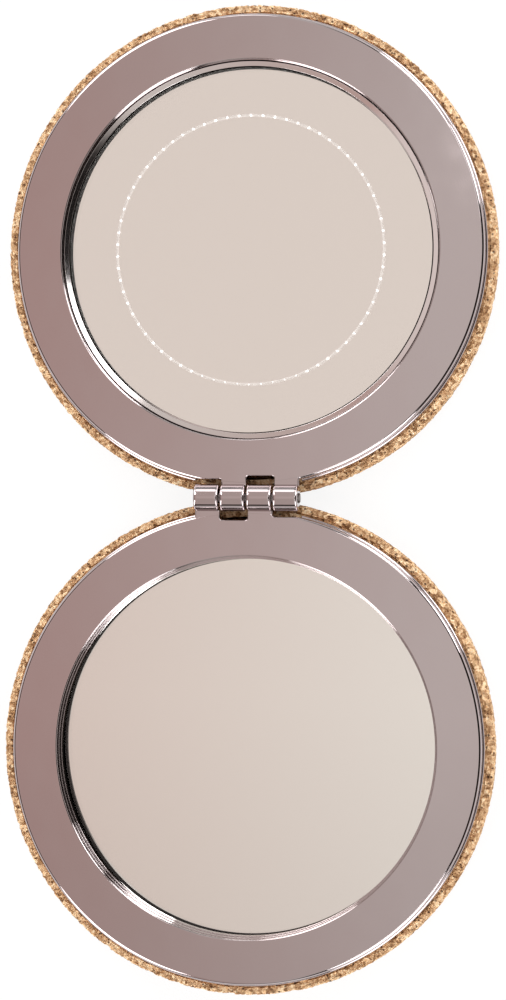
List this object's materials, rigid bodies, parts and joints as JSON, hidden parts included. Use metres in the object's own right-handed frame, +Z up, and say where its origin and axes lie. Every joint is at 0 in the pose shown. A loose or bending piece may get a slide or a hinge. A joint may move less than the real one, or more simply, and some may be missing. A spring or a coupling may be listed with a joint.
{
  "type": "compact mirror",
  "caption": "Round folding pocket mirror: cork-capped base and lid with polished rings, a flat and a magnifying glass, and a pinned hinge with magnetic closing.",
  "frame": {"origin": "on the table, below the middle of the hinge, with the mirror lying open flat on its two cork backs", "axes": "+X along the hinge pin, +Y from the hinge towards the far edge of the lid, +Z up out of the mirrors"},
  "size_m": [0.07, 0.1402, 0.0096],
  "materials": {
    "cork": "matte",
    "plated_abs": "polished",
    "mirror_glass": "polished",
    "foam_tape": "matte",
    "glue": "satin",
    "magnet": "polished",
    "steel": "satin"
  },
  "bodies": {
    "base": {"base_cork_cap": "cork", "base_cork_glue": "glue", "base_tray": "plated_abs", "base_frame": "plated_abs", "base_magnet_left": "magnet", "base_magnet_right": "magnet", "base_mirror_tape": "foam_tape", "base_mirror": "mirror_glass"},
    "lid": {"lid_cork_cap": "cork", "lid_cork_glue": "glue", "lid_tray": "plated_abs", "lid_frame": "plated_abs", "lid_magnet_left": "magnet", "lid_magnet_right": "magnet", "lid_mirror_seat": "plated_abs", "lid_mirror_tape": "foam_tape", "lid_mirror": "mirror_glass", "hinge_pin": "steel"}
  },
  "joints": [
    {"name": "lid_hinge", "type": "hinge", "parent": "base", "child": "lid", "pos_m": [0, 0, 0.0077], "axis": [1, 0, 0], "range_deg": [0, 180]}
  ]
}
